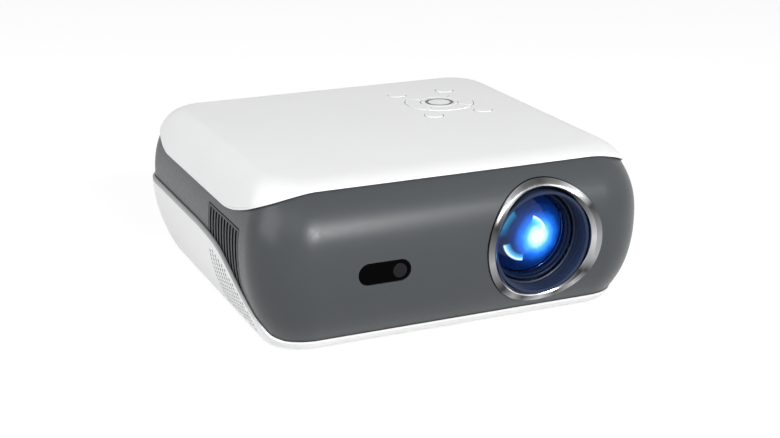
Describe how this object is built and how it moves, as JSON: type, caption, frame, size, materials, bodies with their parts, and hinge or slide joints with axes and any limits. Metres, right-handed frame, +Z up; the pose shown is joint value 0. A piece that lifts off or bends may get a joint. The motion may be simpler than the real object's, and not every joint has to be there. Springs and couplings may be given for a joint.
{
  "type": "video projector",
  "caption": "Compact table projector with a rounded two-tone case, ringed lens, lid keys, side vents, rear sockets, fans and a light engine inside.",
  "frame": {"origin": "under the middle of the case, on the surface that its feet stand on", "axes": "+X along the width towards the lens side, +Y from the lens face to the rear, +Z up"},
  "size_m": [0.2232, 0.2152, 0.0892],
  "materials": {
    "lid_white": "fine satin moulding, light grey white",
    "shell_white": "fine satin moulding, light grey white",
    "band_grey": "satin paint-like moulding, neutral dark grey",
    "vent_grey": "satin moulding",
    "bezel_chrome": "bright plated, with fine turning",
    "recess_navy": "semi-gloss, very dark blue",
    "gloss_black": "polished",
    "black_plastic": "fine spark texture",
    "coated_glass": "polished, blue coated",
    "clear_glass": "polished, fine concentric grooves on the panels",
    "circuit_board": "green solder mask",
    "foot_rubber": "matt",
    "raw_alloy": "extruded, satin",
    "thread_brass": "turned",
    "plated_steel": "nickel plated",
    "gear_nylon": "natural nylon",
    "front_mirror": "front-silvered glass"
  },
  "bodies": {
    "case": {"top_cover": "lid_white", "mid_shell": "band_grey", "left_vent": "vent_grey", "right_vent": "vent_grey", "ir_window": "gloss_black", "bottom_shell": "shell_white", "rear_panel": "black_plastic", "hdmi_socket": "plated_steel", "usb_socket": "plated_steel", "av_socket": "black_plastic", "power_inlet": "black_plastic", "lens_bezel": "bezel_chrome", "lens_funnel": "recess_navy", "lens_tube": "black_plastic", "focus_bracket": "plated_steel", "ir_board": "circuit_board", "key_board": "circuit_board", "engine_tray": "black_plastic", "engine_cover": "black_plastic", "fresnel_rear": "clear_glass", "lcd_panel": "gloss_black", "fresnel_front": "clear_glass", "fold_mirror": "front_mirror", "condenser_lens": "clear_glass", "led_board": "raw_alloy", "heatsink": "raw_alloy", "exhaust_fan_frame": "black_plastic", "intake_fan_frame": "black_plastic", "main_board": "circuit_board", "power_board": "circuit_board", "speaker_left": "black_plastic", "speaker_right": "black_plastic", "foot_1": "foot_rubber", "foot_2": "foot_rubber", "foot_3": "foot_rubber", "foot_4": "foot_rubber", "tripod_insert": "thread_brass", "case_screw_1": "plated_steel", "case_screw_2": "plated_steel", "case_screw_3": "plated_steel", "case_screw_4": "plated_steel"},
    "barrel": {"lens_barrel": "black_plastic", "front_lens": "coated_glass", "rear_lens": "coated_glass"},
    "ring": {"focus_ring": "gear_nylon"},
    "idler": {"idler_gear": "gear_nylon"},
    "wheel": {"focus_wheel": "black_plastic"},
    "exhaust_rotor": {"exhaust_fan_rotor": "black_plastic"},
    "intake_rotor": {"intake_fan_rotor": "black_plastic"},
    "dial": {"tilt_dial": "black_plastic"},
    "stud": {"tilt_stud": "black_plastic"},
    "ok": {"ok_key": "lid_white"},
    "nav_right": {"nav_key_right": "lid_white"},
    "nav_rear": {"nav_key_rear": "lid_white"},
    "nav_left": {"nav_key_left": "lid_white"},
    "nav_front": {"nav_key_front": "lid_white"},
    "round_1": {"round_key_1": "lid_white"},
    "round_2": {"round_key_2": "lid_white"},
    "round_3": {"round_key_3": "lid_white"},
    "round_4": {"round_key_4": "lid_white"}
  },
  "joints": [
    {"name": "focus_ring_turn", "type": "hinge", "parent": "case", "child": "ring", "pos_m": [0.0433, -0.058, 0.0463], "axis": [0, 1, 0], "range_deg": [-60.1, 60.1]},
    {"name": "idler_turn", "type": "hinge", "parent": "case", "child": "idler", "pos_m": [0.0844, -0.058, 0.05405], "axis": [0, 1, 0], "range_deg": [-164, 164]},
    {"name": "focus_wheel_turn", "type": "hinge", "parent": "case", "child": "wheel", "pos_m": [0.1032, -0.058, 0.0576], "axis": [0, 1, 0], "range_deg": [-226, 226]},
    {"name": "barrel_slide", "type": "slide", "parent": "case", "child": "barrel", "axis": [0, -1, 0], "range_m": [-0.0025, 0.0025]},
    {"name": "exhaust_fan_spin", "type": "hinge", "parent": "case", "child": "exhaust_rotor", "pos_m": [-0.0855, -0.04265, 0.044], "axis": [1, 0, 0], "continuous": true},
    {"name": "intake_fan_spin", "type": "hinge", "parent": "case", "child": "intake_rotor", "pos_m": [0.0895, -0.013, 0.044], "axis": [1, 0, 0], "continuous": true},
    {"name": "tilt_dial_turn", "type": "hinge", "parent": "case", "child": "dial", "pos_m": [0, -0.072, 0.0053], "axis": [0, 0, 1], "range_deg": [0, 721]},
    {"name": "tilt_stud_slide", "type": "slide", "parent": "case", "child": "stud", "axis": [0, 0, -1], "range_m": [0, 0.01]},
    {"name": "ok_press", "type": "slide", "parent": "case", "child": "ok", "axis": [0, 0, -1], "range_m": [0, 0.0006], "stiffness_N_per_m": 600, "springref_m": -0.0003},
    {"name": "nav_right_press", "type": "slide", "parent": "case", "child": "nav_right", "axis": [0, 0, -1], "range_m": [0, 0.0006], "stiffness_N_per_m": 600, "springref_m": -0.0003},
    {"name": "nav_rear_press", "type": "slide", "parent": "case", "child": "nav_rear", "axis": [0, 0, -1], "range_m": [0, 0.0006], "stiffness_N_per_m": 600, "springref_m": -0.0003},
    {"name": "nav_left_press", "type": "slide", "parent": "case", "child": "nav_left", "axis": [0, 0, -1], "range_m": [0, 0.0006], "stiffness_N_per_m": 600, "springref_m": -0.0003},
    {"name": "nav_front_press", "type": "slide", "parent": "case", "child": "nav_front", "axis": [0, 0, -1], "range_m": [0, 0.0006], "stiffness_N_per_m": 600, "springref_m": -0.0003},
    {"name": "round_1_press", "type": "slide", "parent": "case", "child": "round_1", "axis": [0, 0, -1], "range_m": [0, 0.0006], "stiffness_N_per_m": 600, "springref_m": -0.0003},
    {"name": "round_2_press", "type": "slide", "parent": "case", "child": "round_2", "axis": [0, 0, -1], "range_m": [0, 0.0006], "stiffness_N_per_m": 600, "springref_m": -0.0003},
    {"name": "round_3_press", "type": "slide", "parent": "case", "child": "round_3", "axis": [0, 0, -1], "range_m": [0, 0.0006], "stiffness_N_per_m": 600, "springref_m": -0.0003},
    {"name": "round_4_press", "type": "slide", "parent": "case", "child": "round_4", "axis": [0, 0, -1], "range_m": [0, 0.0006], "stiffness_N_per_m": 600, "springref_m": -0.0003}
  ],
  "couplings": [
    {"joint": "focus_ring_turn", "follows": "barrel_slide", "rad_per_m": 418.88},
    {"joint": "idler_turn", "follows": "barrel_slide", "rad_per_m": -1142.4},
    {"joint": "focus_wheel_turn", "follows": "barrel_slide", "rad_per_m": 1570.8},
    {"joint": "tilt_dial_turn", "follows": "tilt_stud_slide", "rad_per_m": 1256.6}
  ]
}
